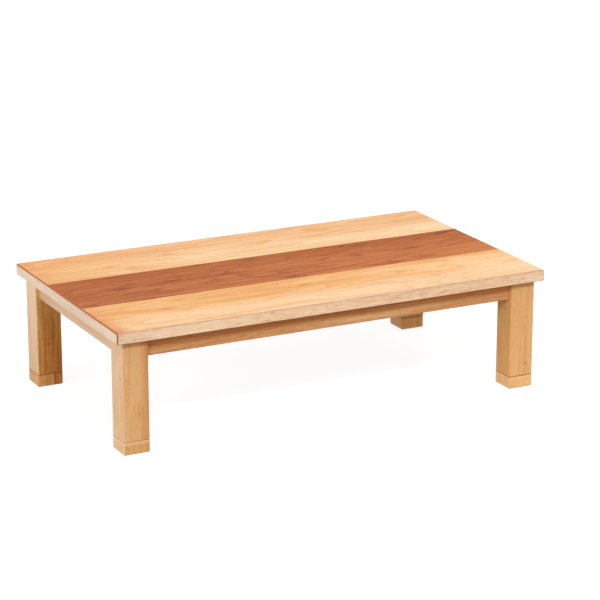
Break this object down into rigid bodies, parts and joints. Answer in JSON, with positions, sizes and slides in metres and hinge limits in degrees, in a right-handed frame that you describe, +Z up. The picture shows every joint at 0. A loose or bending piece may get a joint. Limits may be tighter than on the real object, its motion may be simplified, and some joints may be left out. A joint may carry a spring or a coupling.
{
  "type": "kotatsu table",
  "caption": "Low rectangular kotatsu table: loose two-tone wood top on a leg and apron frame with screw-on leg extensions and a fan heater unit underneath.",
  "frame": {"origin": "on the floor under the middle of the top", "axes": "+X along the table's length, +Y towards its back long side, +Z up"},
  "size_m": [1.5, 0.85, 0.4],
  "materials": {
    "core_board": "brown board core, bare where the chamfers cut through to it",
    "backing_sheet": "plain backing veneer",
    "pale_veneer": "pale blond wood veneer, satin lacquer",
    "dark_veneer": "reddish-brown wood veneer, satin lacquer",
    "edge_wood": "pale beige wood edge tape, satin lacquer",
    "leg_wood": "solid pale wood with straight upright grain, satin lacquer",
    "apron_wood": "solid pale wood, grain along the board, satin lacquer",
    "rail_wood": "planed softwood, unfinished",
    "dowel_wood": "fluted beech dowel",
    "felt": "pressed brown felt",
    "rubber_pad": "soft black rubber",
    "zinc_steel": "zinc-plated steel",
    "heater_enamel": "black heat-proof enamel on sheet steel",
    "guard_enamel": "black flocked wire",
    "reflector_sheet": "bright rolled aluminium",
    "quartz": "milky quartz glass",
    "coil_wire": "oxidised resistance wire",
    "ceramic": "white steatite",
    "motor_can": "plain steel",
    "fan_sheet": "pressed aluminium",
    "brown_plastic": "brown phenolic",
    "white_plastic": "white moulded plastic",
    "black_plastic": "black moulded plastic",
    "glass_sleeve": "white woven glass-fibre sleeving",
    "brass_cap": "plain brass"
  },
  "bodies": {
    "leg_extensions": {"leg_extension_front_left": "leg_wood", "leg_extension_front_right": "leg_wood", "leg_extension_back_left": "leg_wood", "leg_extension_back_right": "leg_wood", "extension_dowels": "dowel_wood", "extension_bolts": "zinc_steel", "extension_washers": "zinc_steel", "foot_felts": "felt"},
    "frame": {"leg_front_left": "leg_wood", "leg_front_right": "leg_wood", "leg_back_left": "leg_wood", "leg_back_right": "leg_wood", "corner_bracket_front_left": "zinc_steel", "corner_bracket_front_right": "zinc_steel", "corner_bracket_back_left": "zinc_steel", "corner_bracket_back_right": "zinc_steel", "leg_inserts": "zinc_steel", "apron_front": "apron_wood", "apron_back": "apron_wood", "apron_left": "apron_wood", "apron_right": "apron_wood", "apron_dowels": "dowel_wood", "rest_pads": "rubber_pad", "bracket_screws": "zinc_steel", "hanger_bolts": "zinc_steel", "hanger_washers": "zinc_steel", "hanger_nuts": "zinc_steel", "heater_rail_left": "rail_wood", "heater_rail_right": "rail_wood", "rail_angles": "zinc_steel", "rail_screws": "zinc_steel", "heater_case": "heater_enamel", "heater_screws": "zinc_steel", "guard_screws": "zinc_steel", "heater_guard": "guard_enamel", "reflector": "reflector_sheet", "quartz_tube_front": "quartz", "quartz_tube_back": "quartz", "heating_coils": "coil_wire", "tube_holders": "ceramic", "fan_motor": "motor_can", "motor_screws": "zinc_steel", "thermostat": "brown_plastic", "thermal_fuse": "brass_cap", "terminal_block": "white_plastic", "power_inlet": "black_plastic", "inlet_pins": "brass_cap", "heater_leads": "glass_sleeve"},
    "fan": {"fan_wheel": "fan_sheet", "fan_shaft": "motor_can", "fan_clip": "motor_can"},
    "top": {"top_core": "core_board", "top_backing": "backing_sheet", "top_veneer_front": "pale_veneer", "top_veneer_centre": "dark_veneer", "top_veneer_back": "pale_veneer", "edge_tape_front": "edge_wood", "edge_tape_back": "edge_wood", "edge_tape_left": "edge_wood", "edge_tape_right": "edge_wood"}
  },
  "joints": [
    {"name": "frame_lift", "type": "slide", "parent": "leg_extensions", "child": "frame", "axis": [0, 0, 1], "range_m": [0, 0.06]},
    {"name": "top_lift", "type": "slide", "parent": "frame", "child": "top", "axis": [0, 0, 1], "range_m": [0, 0.12]},
    {"name": "fan_spin", "type": "hinge", "parent": "frame", "child": "fan", "pos_m": [0, 0, 0.33], "axis": [0, 0, 1], "continuous": true}
  ]
}
